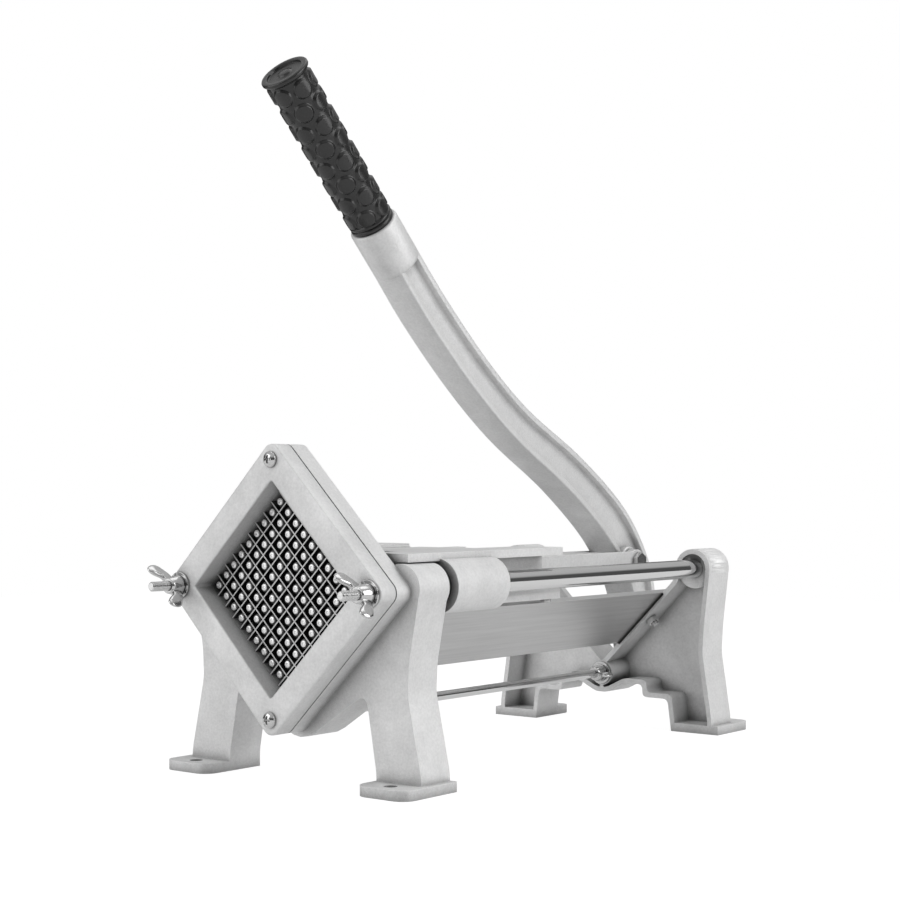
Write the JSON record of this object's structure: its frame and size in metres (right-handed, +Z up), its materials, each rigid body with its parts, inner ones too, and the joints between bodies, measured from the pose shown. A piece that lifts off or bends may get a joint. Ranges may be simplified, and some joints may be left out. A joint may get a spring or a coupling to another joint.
{
  "type": "lever-operated french fry cutter",
  "caption": "Bench-top french fry cutter: square blade grid on its corner, V trough, carriage on guide rods, drawbar and long hand lever with a rubber grip.",
  "frame": {"origin": "on the table, midway between the four foot bolt holes", "axes": "+Y from the blades back to the lever's pivot, +X to the right seen from the blades, +Z up"},
  "size_m": [0.194, 0.431, 0.4287],
  "materials": {
    "cast_aluminium": "fine sand-cast, matte",
    "sheet_aluminium": "rolled sheet, satin",
    "blade_steel": "bright stainless steel",
    "plated_steel": "bright zinc plate",
    "chromed_rod": "polished chrome",
    "bronze": "sintered bronze, plain",
    "black_rubber": "moulded rubber, matte",
    "black_plastic": "moulded, matte"
  },
  "bodies": {
    "frame": {"blade_frame": "cast_aluminium", "blades_rising": "blade_steel", "blades_falling": "blade_steel", "frame_screws": "plated_steel", "frame_studs": "plated_steel", "stud_washers": "plated_steel", "front_casting": "cast_aluminium", "rear_casting": "cast_aluminium", "guide_rod_left": "chromed_rod", "guide_rod_right": "chromed_rod", "rod_end_bolts": "plated_steel", "bumper_rings": "black_rubber", "tie_rod": "chromed_rod", "tie_washer": "plated_steel", "trough_panel_left": "sheet_aluminium", "trough_panel_right": "sheet_aluminium", "panel_screws": "plated_steel", "panel_nuts": "plated_steel", "pivot_bolt": "plated_steel", "pivot_nut": "plated_steel"},
    "slider": {"carriage": "cast_aluminium", "sleeve_bushes": "bronze", "pusher_plate": "black_plastic", "pusher_pins": "black_plastic", "pin_tips": "blade_steel", "pusher_screws": "plated_steel", "guide_shoes": "cast_aluminium", "shoe_screws": "plated_steel", "drawbar_pin": "chromed_rod", "drawbar_clips": "plated_steel"},
    "link": {"drawbar": "cast_aluminium", "drawbar_bolts": "plated_steel"},
    "handle": {"lever": "cast_aluminium", "pivot_bush": "bronze", "grip_core": "chromed_rod", "grip": "black_rubber", "grip_cap": "black_rubber"},
    "left_nut": {"wing_nut_left": "plated_steel"},
    "right_nut": {"wing_nut_right": "plated_steel"},
    "rear_nut": {"tie_wing_nut": "plated_steel"}
  },
  "joints": [
    {"name": "lever_swing", "type": "hinge", "parent": "frame", "child": "handle", "pos_m": [0, 0.1955, 0.0365], "axis": [-1, 0, 0], "range_deg": [0, 80]},
    {"name": "carriage_slide", "type": "slide", "parent": "frame", "child": "slider", "axis": [0, 1, 0], "range_m": [0, 0.1089]},
    {"name": "drawbar_hinge", "type": "hinge", "parent": "slider", "child": "link", "pos_m": [0, -0.0585, 0.119], "axis": [-1, 0, 0], "range_deg": [0, 10.2]},
    {"name": "left_nut_spin", "type": "hinge", "parent": "frame", "child": "left_nut", "pos_m": [-0.07566, -0.2065, 0.114], "axis": [0, -1, 0], "continuous": true},
    {"name": "right_nut_spin", "type": "hinge", "parent": "frame", "child": "right_nut", "pos_m": [0.07566, -0.2065, 0.114], "axis": [0, -1, 0], "continuous": true},
    {"name": "rear_nut_spin", "type": "hinge", "parent": "frame", "child": "rear_nut", "pos_m": [0, 0.1395, 0.03796], "axis": [0, -1, 0], "continuous": true}
  ],
  "couplings": [
    {"joint": "carriage_slide", "follows": "lever_swing", "m_per_rad": 0.077869},
    {"joint": "drawbar_hinge", "follows": "lever_swing", "ratio": 0.12676}
  ]
}
